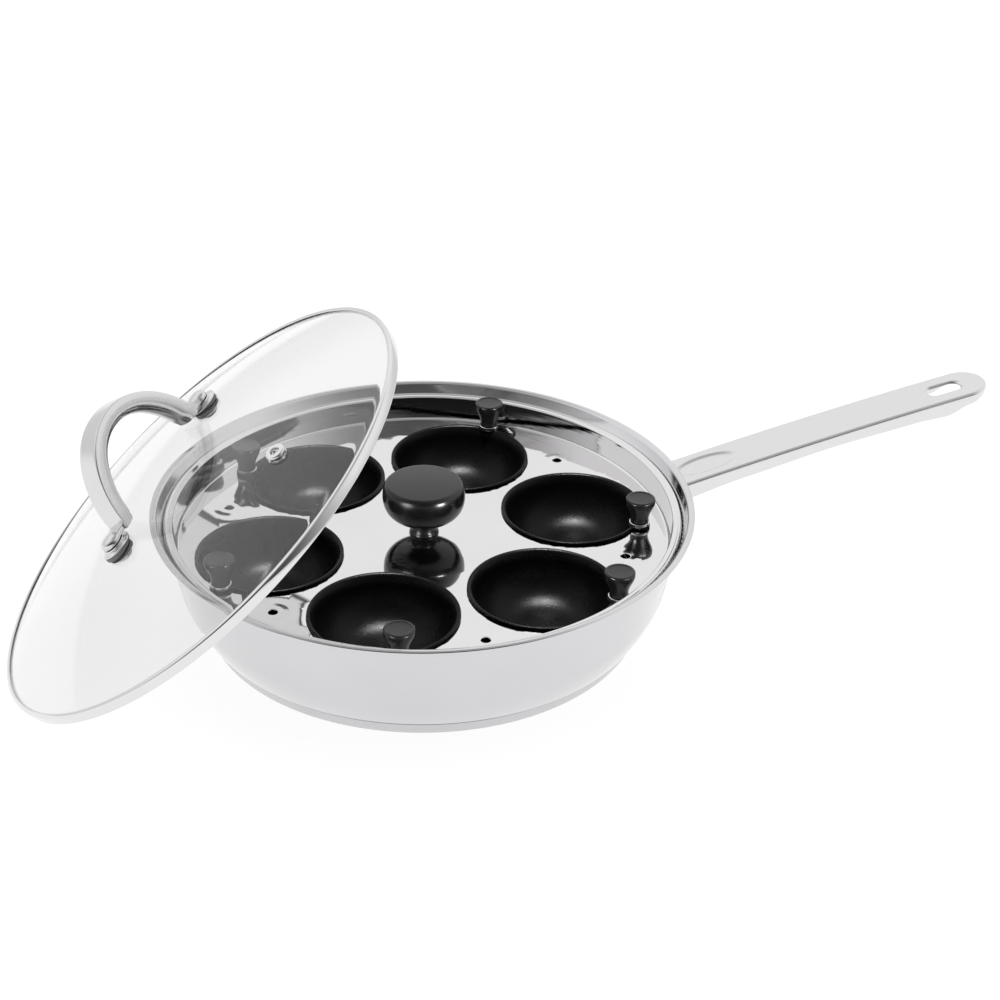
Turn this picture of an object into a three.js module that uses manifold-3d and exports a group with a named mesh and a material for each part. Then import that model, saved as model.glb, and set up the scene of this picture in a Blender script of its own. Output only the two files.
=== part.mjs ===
// Egg pan: a stainless pan with a long handle, a drop-in tray that carries six lift-out cups,
// and a domed glass lid leaning beside it. Millimetres, +Z up, origin on the pan's axis at the
// table, +X along the long handle.

import * as THREE from 'three';
import { mergeVertices } from 'three/addons/utils/BufferGeometryUtils.js';
import Module from 'manifold-3d';

const wasm = await Module();
wasm.setup();

// Fits shared by all pieces
const fit = 0.3; // gap between pieces that touch
const liftGap = 0.8; // gap round a piece that lifts out
const weldDistance = 1e-4;

// Cups
const cupCount = 6;
const cupRim = 37.8; // outer radius of a cup's lip
const cupLip = 1.7; // flat width of the lip
const cupSheet = 1.2;
const cupDepth = 24.5; // below the tray's floor
const cupFloor = 12; // radius of the flat bottom
const cupGap = 6.4; // between the lips of two neighbours
const cupMargin = 6.8; // from a lip to the edge of the tray's floor
const cupTurns = [-43.7, -12.6, 33.1, 39.3, 25.9, 27.9]; // each cup's lug, from its outward line
const lugRadius = 5.6;
const lugReach = 38.6; // cup's axis to the knob's axis
const studFlange = 5.4;
const studFlangeHeight = 1.4;
const studRadius = 1.7;
const studLength = 9;
const cupKnobTop = 7.75;
const cupKnobFoot = 4.9;
const cupKnobHeight = 13.5;

// Tray
const traySheet = 0.8;
const trayDepth = 13; // floor below the flange
const upstandLean = 1.2; // how far the upstand widens on its way up
const trayFillet = 0.9;
const flangeWidth = 4.3;
const ventRing = 106.5; // pitch radius of the steam vents
const ventHole = 2.1;
const ventBoss = 9.5;
const ventTop = 4.4;
const ventRise = 0.8;

// Tray knob and its fixing
const knobRadius = 21.4;
const knobTop = 19.3; // flat top
const knobHeight = 28.9;
const neckRadius = 6.4;
const neckFlare = 1.4; // its foot is wider by this much
const neckHeight = 6.5;
const insertRadius = 4;
const insertLength = 15;
const screwRadius = 2.2;
const screwHead = 4.5;
const screwHeadHeight = 2.6;
const washerRadius = 6.5;
const washerThickness = 1;

// Pan
const panHeight = 65;
const panSheet = 1.2;
const ledgeDrop = 6.6; // lip to tray ledge
const seatWidth = 1; // tray flange on the ledge
const lipFlare = 3.7; // ledge to the lip's inner edge
const lipWidth = 3.3;
const lipRound = 0.7;
const bellyDrawIn = 6.2; // wall at the belly, inside the wall at the neck
const bellyHeight = 27;
const baseRadius = 113.7;
const baseFlare = 2.7; // base cap widens by this much upwards
const capSheet = 0.8;
const coreThickness = 5.9;
const footStep = 1.4; // wall foot outside the base cap

// Long handle
const handleReach = 182; // tip beyond the pan's lip
const handleWidth = 27;
const handleSheet = 1.6;
const handleEdge = 3; // rounding of its long edges
const handleDrop = 7.4; // top of its root below the pan's lip
const handlePitchRoot = 11.9; // degrees
const handlePitchTip = 8.5;
const handleDepths = [[0, 10.5], [0.25, 8], [0.5, 7], [0.75, 8], [0.86, 9.4], [0.93, 6], [1, 2.6]];
const hangSlotLength = 20;
const hangSlotWidth = 9;
const hangSlotInset = 24; // slot's centre from the tip
const dimpleLength = 36;
const dimpleWidth = 16;
const dimpleDepth = 0.9;
const dimpleReach = 17.5; // dimple's centre beyond the lip
const bracketLength = 14;
const bracketHeight = 6;
const bracketSheet = 2;

// Lid
const lidGap = 3.8; // lid's edge to the tray flange's edge
const bandHeight = 6;
const bandSheet = 0.8;
const bandFold = 3.8; // how far the band folds in over the glass
const glassInset = 1.8; // glass edge inside the band's outer face
const glassThickness = 3.1;
const glassEdgeTop = 1.2; // above the band's middle
const glassSagitta = 26;
const lidTilt = 40.39; // degrees
const lidBearing = 169.49;
const lidSpin = 232.2; // handle's line, from the downhill line
const lidSideShift = 30.1;
const lidPlaneGap = 1.6; // lid's rim plane clear of the pan's lip
const tableGap = 0.2;

// Lid handle, feet and vent
const archSpan = 46; // half the distance between the feet
const archRise = 68.2; // outer face above the rim plane
const archWidth = 14;
const archThickness = 9.5;
const archEndWidth = 13;
const archEndThickness = 8.5;
const archEndInset = 7.8; // outer face at its ends, inside the feet's axes
const archTab = 5; // half width of the tabs that reach out over the feet
const archTabHeight = 2.6;
const archBoss = 5.6; // domed end of a tab
const archBossHeight = 4;
const footFlange = 8.6;
const footFlangeHeight = 1;
const footNeck = 6.2;
const footNeckHeight = 1;
const gasketRadius = 8.2;
const gasketHeight = 1.3; // over the glass at the foot's axis
const lidScrewRadius = 2.1;
const lidScrewGrip = 2.6; // thread inside the arch
const lidScrewHead = 4.6;
const lidScrewHeadHeight = 2.4;
const innerWasherRadius = 7;
const innerWasherHeight = 1.6;
const eyeletReach = 82.5;
const eyeletFlange = 5;
const eyeletFlangeHeight = 1;
const eyeletBarrel = 3;
const eyeletBore = 2.2;

// Facets
const largeSides = 56;
const cupSides = 24;
const smallSides = 14;
const domeSteps = 6;

// Sizes that follow from those above
const cupRing = (2 * cupRim + cupGap) / (2 * Math.sin(Math.PI / cupCount));
const cupMouth = cupRim - cupLip;
const bowlRadius = cupMouth - 0.6;
const cupHole = bowlRadius + liftGap;
const trayFloorRadius = cupRing + cupRim + cupMargin;
const upstandFoot = trayFloorRadius + trayFillet;
const upstandTop = upstandFoot + upstandLean;
const trayRadius = upstandTop + flangeWidth;
const ledgeInner = trayRadius - seatWidth;
const ledgeOuter = trayRadius + fit;
const lipInner = ledgeOuter + lipFlare - fit;
const panRadius = lipInner + lipWidth;
const ledgeZ = panHeight - ledgeDrop;
const neckZ = ledgeZ - 1;
const wallNeck = ledgeInner + panSheet;
const bellyRadius = wallNeck - bellyDrawIn;
const floorZ = capSheet + fit + coreThickness + fit; // underside of the pan's floor
const capTopRadius = baseRadius + baseFlare;
const footRadius = capTopRadius + footStep;
const footZ = floorZ + 1;
const flangeTop = ledgeZ + fit + traySheet;
const trayFloorZ = flangeTop - trayDepth;
const lidRadius = trayRadius - lidGap;
const glassRadius = lidRadius - glassInset;
const glassSphere = (glassRadius ** 2 + glassSagitta ** 2) / (2 * glassSagitta);
const handleTip = panRadius + handleReach;

// Finishes
const finish = (color, roughness, metalness) =>
  new THREE.MeshStandardMaterial({ color, roughness, metalness });
const polishedSteel = () => finish(0xd9dadc, 0.12, 1);
const satinSteel = () => finish(0xcfd0d2, 0.32, 1);
const aluminium = () => finish(0xb9bcc0, 0.45, 1);
const brass = () => finish(0xc2a25a, 0.35, 1);
const nonStick = () => finish(0x141313, 0.5, 0);
const blackKnob = () => finish(0x121212, 0.2, 0);
const silicone = () => finish(0x2a2a2a, 0.7, 0);
const clearGlass = () => new THREE.MeshStandardMaterial({
  color: 0xe9f0ee,
  roughness: 0.03,
  metalness: 0,
  transparent: true,
  opacity: 0.3,
});

// Welds shared points, drops collapsed triangles and turns the faces outwards
function weld(geometry) {
  geometry.deleteAttribute('normal');
  geometry.deleteAttribute('uv');
  const merged = mergeVertices(geometry, weldDistance);
  const corners = merged.index.array;
  const place = merged.attributes.position;
  const [a, b, c] = [new THREE.Vector3(), new THREE.Vector3(), new THREE.Vector3()];
  const kept = [];
  let volume = 0;
  for (let i = 0; i < corners.length; i += 3) {
    const [p, q, r] = corners.slice(i, i + 3);
    if (p !== q && q !== r && r !== p) {
      kept.push(p, q, r);
      a.fromBufferAttribute(place, p);
      b.fromBufferAttribute(place, q);
      c.fromBufferAttribute(place, r);
      volume += a.dot(b.cross(c));
    }
  }
  if (volume < 0) kept.reverse();
  merged.setIndex(kept);
  return merged;
}

function solid(geometry) {
  return new wasm.Manifold(new wasm.Mesh({
    numProp: 3,
    vertProperties: new Float32Array(geometry.attributes.position.array),
    triVerts: new Uint32Array(geometry.index.array),
  }));
}

function surface(manifold) {
  const mesh = manifold.getMesh();
  const geometry = new THREE.BufferGeometry();
  const places = new Float32Array(mesh.vertProperties);
  geometry.setAttribute('position', new THREE.BufferAttribute(places, 3));
  geometry.setIndex(new THREE.BufferAttribute(new Uint32Array(mesh.triVerts), 1));
  return geometry;
}

// A body of revolution about Z from [radius, height] points
function turned(profile, sides) {
  const points = profile.map(([r, z]) => new THREE.Vector2(r, z));
  const geometry = new THREE.LatheGeometry(points, sides);
  geometry.rotateX(Math.PI / 2);
  return weld(geometry);
}

// A body of revolution whose profile closes on itself, away from the axis
function ring(profile, sides) {
  return turned([...profile, profile[0]], sides);
}

function disc(radius, low, high, sides) {
  return turned([[0, low], [radius, low], [radius, high], [0, high]], sides);
}

function moved(geometry, x, y, z) {
  return geometry.translate(x, y, z);
}

// Points of a bend from one point to another, pulled towards a corner
function bend(from, corner, to, steps) {
  const curve = new THREE.QuadraticBezierCurve(...[from, corner, to].map((p) => new THREE.Vector2(...p)));
  return curve.getPoints(steps).map((p) => [p.x, p.y]);
}

function sweepBend(from, pullFrom, pullTo, to, steps) {
  const ends = [from, pullFrom, pullTo, to].map((p) => new THREE.Vector2(...p));
  return new THREE.CubicBezierCurve(...ends).getPoints(steps).map((p) => [p.x, p.y]);
}

// Joins equal closed loops of points into one skin; flat holds each loop's points for its end cap
function loft(loops, flatFirst, flatLast) {
  const count = loops[0].length;
  const index = [];
  for (let i = 0; i + 1 < loops.length; i += 1) {
    for (let j = 0; j < count; j += 1) {
      const [p, q] = [i * count + j, i * count + ((j + 1) % count)];
      index.push(p, q, q + count, p, q + count, p + count);
    }
  }
  const last = (loops.length - 1) * count;
  const firstCap = THREE.ShapeUtils.triangulateShape(flatFirst, []);
  const lastCap = THREE.ShapeUtils.triangulateShape(flatLast, []);
  for (const [p, q, r] of firstCap) index.push(r, q, p);
  for (const [p, q, r] of lastCap) index.push(last + p, last + q, last + r);
  const places = loops.flat().flatMap((v) => v.toArray());
  const geometry = new THREE.BufferGeometry();
  geometry.setAttribute('position', new THREE.Float32BufferAttribute(places, 3));
  geometry.setIndex(index);
  return weld(geometry);
}

function piece(name, geometry, material) {
  const mesh = new THREE.Mesh(geometry, material);
  mesh.name = name;
  geometry.computeVertexNormals();
  return mesh;
}

function group(...children) {
  const holder = new THREE.Group();
  holder.add(...children);
  return holder;
}

// Pan wall from the foot to the lip's underside, set out by a gap
function wallOutside(gap) {
  const pull = [bellyRadius - 2.8 + gap, bellyHeight - 9.5];
  return [
    ...bend([footRadius + gap, footZ], pull, [bellyRadius + gap, bellyHeight], 4),
    ...bend(
      [wallNeck + gap, neckZ - gap],
      [wallNeck + 1.4 + gap, panHeight - 2.8 - gap],
      [panRadius - 0.6 + gap, panHeight - 1.6 - gap],
      3,
    ),
  ];
}

function panBody() {
  const pull = [bellyRadius - 2.8 - panSheet, bellyHeight - 9.5];
  const insideFoot = [footRadius - 1.6, footZ + 1];
  const floorTop = floorZ + panSheet;
  return turned([
    [0, floorZ],
    [capTopRadius + 0.4, floorZ],
    ...wallOutside(0),
    [panRadius, panHeight - lipRound],
    [panRadius - lipRound, panHeight],
    [lipInner + lipRound, panHeight],
    [lipInner, panHeight - lipRound],
    [ledgeOuter + 0.2, ledgeZ + 0.8],
    [ledgeOuter, ledgeZ],
    [ledgeInner, ledgeZ],
    [wallNeck - panSheet, neckZ],
    ...bend([bellyRadius - panSheet, bellyHeight], pull, insideFoot, 4),
    [footRadius - 3, floorTop],
    [0, floorTop],
  ], largeSides);
}

function baseCap() {
  const rimZ = floorZ - fit;
  return turned([
    [0, 0],
    [baseRadius - 1, 0],
    [baseRadius, 0.6],
    [capTopRadius, rimZ],
    [capTopRadius - capSheet, rimZ],
    [baseRadius - capSheet, capSheet + 0.6],
    [baseRadius - capSheet - 0.5, capSheet],
    [0, capSheet],
  ], largeSides);
}

function baseCore() {
  const low = capSheet + fit;
  return disc(baseRadius - capSheet - 1, low, low + coreThickness, 48);
}

// Height of the long handle's top at a distance from the pan's axis
function handleTop(x) {
  const slopeRoot = Math.tan(THREE.MathUtils.degToRad(handlePitchRoot));
  const slopeTip = Math.tan(THREE.MathUtils.degToRad(handlePitchTip));
  const run = x - wallNeck;
  const length = handleTip - wallNeck;
  return panHeight - handleDrop + slopeRoot * run + ((slopeTip - slopeRoot) * run ** 2) / (2 * length);
}

function handleDepth(share) {
  const k = handleDepths.findIndex(([u]) => u >= share);
  if (k < 1) return handleDepths[0][1];
  const [[u0, d0], [u1, d1]] = handleDepths.slice(k - 1, k + 1);
  return d0 + ((d1 - d0) * (share - u0)) / (u1 - u0);
}

// One section of the pressed channel, open below: [across, up] from its top centre
function handleSection(half, depth) {
  const edge = Math.min(handleEdge, half / 2, depth / 2);
  const inner = half - Math.min(handleSheet, half / 3);
  const innerEdge = Math.min(edge, inner / 2);
  const roof = -Math.min(handleSheet, depth - 0.8);
  const outside = [[half, -depth], [half, -edge], [half - edge * 0.3, -edge * 0.3], [half - edge, 0]];
  const inside = [[inner, -depth], [inner, roof - innerEdge * 0.2], [inner - innerEdge, roof]];
  const mirrored = (points) => points.map(([y, z]) => [-y, z]).reverse();
  return [...outside, ...mirrored(outside), ...mirrored(inside).reverse(), ...inside.slice().reverse()];
}

function longHandle(wallSpace) {
  const half = handleWidth / 2;
  const root = wallNeck - 4;
  const round = handleTip - half; // where the rounded end starts
  const straight = handleDepths.map(([u]) => root + u * (handleTip - root)).filter((x) => x < round - 1);
  const turns = [0, 25, 45, 62, 75].map((deg) => THREE.MathUtils.degToRad(deg));
  const stations = [
    ...straight.map((x) => [x, half]),
    ...turns.map((t) => [round + half * Math.sin(t), half * Math.cos(t)]),
  ];
  const sections = stations.map(([x, w]) => handleSection(w, handleDepth((x - root) / (handleTip - root))));
  const loops = sections.map((section, i) => section.map(([y, z]) => {
    const x = stations[i][0];
    return new THREE.Vector3(x, y, handleTop(x) + z);
  }));
  const flat = (section) => section.map(([y, z]) => new THREE.Vector2(y, z));
  const channel = solid(loft(loops, flat(sections[0]), flat(sections.at(-1))));

  const slot = new THREE.Shape();
  const slotHalf = hangSlotLength / 2 - hangSlotWidth / 2;
  slot.absarc(slotHalf, 0, hangSlotWidth / 2, -Math.PI / 2, Math.PI / 2, false);
  slot.absarc(-slotHalf, 0, hangSlotWidth / 2, Math.PI / 2, (3 * Math.PI) / 2, false);
  const slotAt = handleTip - hangSlotInset;
  const slotCut = new THREE.ExtrudeGeometry(slot, { depth: 40, bevelEnabled: false, curveSegments: 6 });
  const slotTool = solid(weld(moved(slotCut, slotAt, 0, handleTop(slotAt) - 20)));

  const dimpleAt = panRadius + dimpleReach;
  const bowlHeight = 3 * dimpleDepth;
  const oval = new THREE.SphereGeometry(1, 20, 10);
  oval.scale(dimpleLength / 2 / 0.745, dimpleWidth / 2 / 0.745, bowlHeight);
  oval.rotateY(-THREE.MathUtils.degToRad(handlePitchRoot));
  const ovalTool = solid(weld(moved(oval, dimpleAt, 0, handleTop(dimpleAt) + bowlHeight - dimpleDepth)));
  return surface(channel.subtract(slotTool).subtract(ovalTool).subtract(wallSpace));
}

// Folded bracket under the handle's root, welded to the wall
function handleBracket(wallSpace) {
  const half = handleWidth / 2 - handleSheet - 1.2;
  const start = wallNeck - 6;
  const length = bracketLength + 6;
  const top = handleTop(wallNeck) - handleSheet - fit - 0.4;
  const block = new THREE.BoxGeometry(length, 2 * half, bracketHeight);
  const hollow = new THREE.BoxGeometry(length * 2, 2 * (half - bracketSheet), bracketHeight);
  const outside = solid(weld(moved(block, start + length / 2, 0, top - bracketHeight / 2)));
  const inside = solid(weld(moved(hollow, start + length / 2, 0, top - bracketHeight / 2 - bracketSheet)));
  return surface(outside.subtract(inside).subtract(wallSpace));
}

function tray() {
  const under = trayFloorZ - traySheet;
  const blank = solid(turned([
    [0, under],
    [trayFloorRadius + 0.6, under],
    [upstandFoot + traySheet, trayFloorZ + 0.2],
    [upstandFoot + traySheet + 0.2, trayFloorZ + 2],
    [upstandTop + traySheet, flangeTop - traySheet],
    [trayRadius, flangeTop - traySheet],
    [trayRadius, flangeTop],
    [upstandTop + 0.5, flangeTop],
    [upstandTop, flangeTop - 0.4],
    [upstandFoot + 0.3, trayFloorZ + 2],
    [upstandFoot, trayFloorZ + 0.8],
    [trayFloorRadius, trayFloorZ],
    [0, trayFloorZ],
  ], largeSides));
  const cutLow = under - 5;
  const cutHigh = trayFloorZ + 5;
  let pressed = blank.subtract(solid(disc(screwRadius + 2 * fit, cutLow, cutHigh, smallSides)));
  for (let k = 0; k < cupCount; k += 1) {
    const cupAngle = (k * 2 * Math.PI) / cupCount;
    const ventAngle = cupAngle + Math.PI / cupCount;
    const [cx, cy] = [cupRing * Math.cos(cupAngle), cupRing * Math.sin(cupAngle)];
    const [vx, vy] = [ventRing * Math.cos(ventAngle), ventRing * Math.sin(ventAngle)];
    const boss = turned([
      [0, trayFloorZ - traySheet / 2],
      [ventBoss, trayFloorZ - traySheet / 2],
      [ventBoss, trayFloorZ],
      [ventTop, trayFloorZ + ventRise],
      [0, trayFloorZ + ventRise],
    ], smallSides);
    pressed = pressed
      .subtract(solid(moved(disc(cupHole, cutLow, cutHigh, cupSides), cx, cy, 0)))
      .add(solid(moved(boss, vx, vy, 0)))
      .subtract(solid(moved(disc(ventHole, cutLow, cutHigh, 12), vx, vy, 0)));
  }
  return surface(pressed);
}

function trayKnob() {
  const low = trayFloorZ + fit;
  const bore = insertRadius + fit;
  const boreTop = low + insertLength + 2 * fit;
  const shoulder = low + neckHeight;
  const top = low + knobHeight;
  const widest = low + knobHeight * 0.78;
  return turned([
    [bore, boreTop],
    [bore, low],
    [neckRadius + neckFlare, low],
    [neckRadius + neckFlare * 0.6, low + neckHeight * 0.3],
    [neckRadius, shoulder],
    ...bend([neckRadius + 2.5, shoulder + 1.4], [knobRadius, shoulder + 3.6], [knobRadius, widest], 5),
    ...bend([knobRadius - 0.2, widest + 2.6], [knobRadius - 0.6, top - 0.4], [knobTop, top], 3),
    [0, top],
    [0, boreTop],
    [bore, boreTop],
  ], cupSides);
}

function knobInsert() {
  const low = trayFloorZ + 2 * fit;
  const bore = screwRadius + fit;
  return ring([
    [bore, low],
    [insertRadius, low],
    [insertRadius, low + insertLength],
    [bore, low + insertLength],
  ], smallSides);
}

function knobWasher() {
  const high = trayFloorZ - traySheet - fit;
  const bore = screwRadius + fit;
  return ring([
    [bore, high - washerThickness],
    [washerRadius, high - washerThickness],
    [washerRadius, high],
    [bore, high],
  ], smallSides);
}

function knobScrew() {
  const seat = trayFloorZ - traySheet - 2 * fit - washerThickness;
  const tip = trayFloorZ + insertLength - 2;
  return turned([
    [0, seat - screwHeadHeight],
    [screwHead * 0.7, seat - screwHeadHeight],
    [screwHead, seat - screwHeadHeight * 0.5],
    [screwHead, seat],
    [screwRadius, seat],
    [screwRadius, tip],
    [0, tip],
  ], smallSides);
}

// Heights in a cup are from the tray's floor
const cupLipLow = fit;
const cupLipTop = cupLipLow + cupSheet;
const studLow = cupLipTop + fit;
const cupKnobLow = studLow + studFlangeHeight + fit;

function cupBowl() {
  const shoulder = -1.5;
  const inner = bowlRadius - cupSheet;
  const outside = sweepBend(
    [cupFloor, -cupDepth],
    [bowlRadius - 10, -cupDepth],
    [bowlRadius - 1.3, shoulder - 14],
    [bowlRadius, shoulder],
    4,
  );
  const inside = sweepBend(
    [inner, shoulder],
    [inner - 1.3, shoulder - 13.5],
    [inner - 9.5, cupSheet - cupDepth],
    [cupFloor, cupSheet - cupDepth],
    4,
  );
  const bowl = solid(turned([
    [0, -cupDepth],
    ...outside,
    [bowlRadius, cupLipLow],
    [cupRim, cupLipLow],
    [cupRim, cupLipTop - 0.4],
    [cupRim - 0.4, cupLipTop],
    [cupMouth, cupLipTop],
    ...inside,
    [0, cupSheet - cupDepth],
  ], cupSides));
  const lug = solid(moved(disc(lugRadius, cupLipLow, cupLipTop, smallSides), lugReach, 0, 0));
  return surface(bowl.add(lug));
}

function cupStud() {
  const top = studLow + studFlangeHeight;
  return moved(turned([
    [0, studLow],
    [studFlange, studLow],
    [studFlange, top],
    [studRadius, top],
    [studRadius, top + studLength],
    [0, top + studLength],
  ], smallSides), lugReach, 0, 0);
}

function cupKnob() {
  const bore = studRadius + fit;
  const boreTop = studLow + studFlangeHeight + studLength + fit;
  const top = cupKnobLow + cupKnobHeight;
  const grip = cupKnobTop - cupKnobFoot;
  return moved(turned([
    [bore, boreTop],
    [bore, cupKnobLow],
    [cupKnobFoot, cupKnobLow],
    [cupKnobFoot - 0.2, cupKnobLow + 1.5],
    [cupKnobFoot + grip * 0.1, cupKnobLow + cupKnobHeight * 0.37],
    [cupKnobFoot + grip * 0.6, cupKnobLow + cupKnobHeight * 0.63],
    [cupKnobTop, top - 2.6],
    [cupKnobTop, top - 1.3],
    [cupKnobTop - 0.5, top - 0.3],
    [cupKnobTop - 1.2, top],
    [cupKnobTop - 1.8, top - 0.3],
    [0, top - 0.3],
    [0, boreTop],
    [bore, boreTop],
  ], smallSides), lugReach, 0, 0);
}

// Heights in the lid are from the middle of its rim band
function domeTop(radius) {
  const drop = glassSphere - Math.sqrt(glassSphere ** 2 - radius ** 2);
  return glassEdgeTop + glassSagitta - drop;
}

function glassProfile(grow) {
  const edge = glassRadius + grow;
  const radii = Array.from({ length: domeSteps + 1 }, (_, i) => (edge * i) / domeSteps);
  const outside = radii.map((r) => [r, domeTop(Math.min(r, glassRadius)) + grow]);
  const inside = radii.map((r) => [r, domeTop(Math.min(r, glassRadius)) - glassThickness - grow]);
  return [...inside, ...outside.reverse()];
}

// Moves a piece from the lid's apex line to the eyelet's place, square to the glass
function atEyelet(geometry) {
  const lean = Math.asin(eyeletReach / glassSphere);
  geometry.rotateX(lean);
  return moved(geometry, 0, -eyeletReach, domeTop(eyeletReach) - (glassThickness / 2) * Math.cos(lean));
}

function lidGlass() {
  let glass = solid(turned(glassProfile(0), largeSides));
  for (const side of [-1, 1]) {
    const hole = moved(disc(lidScrewRadius + 2 * fit, 0, archRise, smallSides), side * archSpan, 0, 0);
    glass = glass.subtract(solid(hole));
  }
  const eye = disc(eyeletBarrel + fit, -3 * glassThickness, 3 * glassThickness, smallSides);
  return surface(glass.subtract(solid(atEyelet(eye))));
}

function lidBand() {
  const half = bandHeight / 2;
  const innerFace = lidRadius - bandSheet;
  const foldTop = lidRadius - bandFold;
  const overGlass = domeTop(foldTop) + 1.5 * fit;
  const overEdge = domeTop(glassRadius) + fit;
  return ring([
    [foldTop, overGlass],
    [foldTop, overGlass + bandSheet],
    [lidRadius - 0.8, overEdge + bandSheet + 0.2],
    [lidRadius, overEdge + 0.4],
    [lidRadius, 0.6 - half],
    [lidRadius - 0.6, -half],
    [foldTop + 0.4, -half],
    [foldTop + 0.4, bandSheet - half],
    [innerFace, bandSheet - half],
    [innerFace, overEdge],
  ], largeSides);
}

// The lid handle's feet stand one each side; heights up from the glass
const glassAtFoot = domeTop(archSpan);
const gasketTop = glassAtFoot + gasketHeight;
const footLow = gasketTop + fit;
const footTop = footLow + footFlangeHeight + footNeckHeight;
const archLow = footTop + fit;

function lidGasket(glassSpace) {
  const bore = lidScrewRadius + fit;
  const blank = ring([
    [bore, glassAtFoot - glassThickness / 2],
    [gasketRadius, glassAtFoot - glassThickness / 2],
    [gasketRadius, gasketTop],
    [bore, gasketTop],
  ], smallSides);
  return solid(moved(blank, archSpan, 0, 0)).subtract(glassSpace);
}

function lidFoot() {
  const bore = lidScrewRadius + fit;
  const flangeTopZ = footLow + footFlangeHeight;
  return moved(ring([
    [bore, footLow],
    [footFlange, footLow],
    [footFlange, flangeTopZ - 0.4],
    [footNeck + 0.8, flangeTopZ],
    [footNeck + 0.8, flangeTopZ + footNeckHeight * 0.3],
    [footNeck, flangeTopZ + footNeckHeight * 0.4],
    [footNeck, footTop],
    [bore, footTop],
  ], smallSides), archSpan, 0, 0);
}

function lidInnerWasher(glassSpace) {
  const bore = lidScrewRadius + fit;
  const under = glassAtFoot - glassThickness;
  const blank = ring([
    [bore, under - fit - innerWasherHeight],
    [innerWasherRadius, under - fit - innerWasherHeight],
    [innerWasherRadius, under + glassThickness / 2],
    [bore, under + glassThickness / 2],
  ], smallSides);
  return solid(moved(blank, archSpan, 0, 0)).subtract(glassSpace);
}

function lidScrew() {
  const seat = glassAtFoot - glassThickness - 2 * fit - innerWasherHeight;
  const tip = archLow + lidScrewGrip;
  return moved(turned([
    [0, seat - lidScrewHeadHeight],
    [lidScrewHead * 0.7, seat - lidScrewHeadHeight],
    [lidScrewHead, seat - lidScrewHeadHeight * 0.5],
    [lidScrewHead, seat],
    [lidScrewRadius, seat],
    [lidScrewRadius, tip],
    [0, tip],
  ], smallSides), archSpan, 0, 0);
}

// A flat-faced arch with a rounded inside. A tab with a domed end reaches out from each of its ends
function lidArch() {
  const end = archSpan - archEndInset;
  const steps = 12;
  const top = [0, archRise];
  const side = sweepBend([end, archLow], [end - 1.7, archLow + 19], [end * 0.576, archRise], top, steps);
  const outer = [...side, ...side.slice(0, -1).reverse().map(([x, z]) => [-x, z])];
  const last = outer.length - 1;
  const sections = outer.map((_, i) => {
    const atEnd = i === 0 || i === last;
    const half = (atEnd ? archEndWidth : archWidth) / 2;
    const thick = atEnd ? archEndThickness : archThickness;
    return [
      [-half, 0],
      [-half, -0.3 * thick],
      [-0.72 * half, -0.75 * thick],
      [-0.3 * half, -thick],
      [0.3 * half, -thick],
      [0.72 * half, -0.75 * thick],
      [half, -0.3 * thick],
      [half, 0],
    ];
  });
  const loops = outer.map(([x, z], i) => {
    const out = new THREE.Vector2(x, z - archLow).normalize();
    return sections[i].map(([y, d]) => new THREE.Vector3(x + out.x * d, y, z + out.y * d));
  });
  const flat = sections[0].map(([y, d]) => new THREE.Vector2(y, d));
  let arch = solid(loft(loops, flat, flat));
  for (const at of [-archSpan, archSpan]) {
    const tabLength = archSpan - end + archEndThickness / 2;
    const tab = new THREE.BoxGeometry(tabLength, 2 * archTab, archTabHeight);
    const tabAt = Math.sign(at) * (archSpan - tabLength / 2);
    const boss = turned([
      [0, archLow],
      [archBoss, archLow],
      ...bend(
        [archBoss, archLow + archTabHeight * 0.5],
        [archBoss, archLow + archBossHeight],
        [0, archLow + archBossHeight],
        4,
      ),
    ], smallSides);
    const thread = disc(lidScrewRadius + fit, archLow - 1, archLow + lidScrewGrip + fit, smallSides);
    arch = arch
      .add(solid(weld(moved(tab, tabAt, 0, archLow + archTabHeight / 2))))
      .add(solid(moved(boss, at, 0, 0)))
      .subtract(solid(moved(thread, at, 0, 0)));
  }
  return surface(arch);
}

function lidEyelet() {
  const face = glassThickness / 2 + fit;
  return atEyelet(ring([
    [eyeletBore, -face - eyeletFlangeHeight],
    [eyeletFlange - 0.5, -face - eyeletFlangeHeight],
    [eyeletFlange, -face],
    [eyeletBarrel, -face],
    [eyeletBarrel, face],
    [eyeletFlange, face],
    [eyeletFlange - 0.8, face + eyeletFlangeHeight],
    [eyeletBore + 0.5, face + eyeletFlangeHeight],
    [eyeletBore, face + eyeletFlangeHeight * 0.5],
  ], smallSides));
}

function makePan() {
  const above = panHeight + 30;
  const wallSpace = solid(turned([
    [0, 0],
    [baseRadius, 0],
    ...wallOutside(fit),
    [panRadius + fit, panHeight],
    [panRadius + fit, above],
    [0, above],
  ], largeSides));
  return group(
    piece('pan_body', panBody(), polishedSteel()),
    piece('base_core', baseCore(), aluminium()),
    piece('base_cap', baseCap(), satinSteel()),
    piece('pan_handle', longHandle(wallSpace), satinSteel()),
    piece('handle_bracket', handleBracket(wallSpace), satinSteel()),
  );
}

function makeTray() {
  return group(
    piece('tray', tray(), polishedSteel()),
    piece('tray_knob', trayKnob(), blackKnob()),
    piece('knob_insert', knobInsert(), brass()),
    piece('knob_washer', knobWasher(), satinSteel()),
    piece('knob_screw', knobScrew(), satinSteel()),
  );
}

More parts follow.
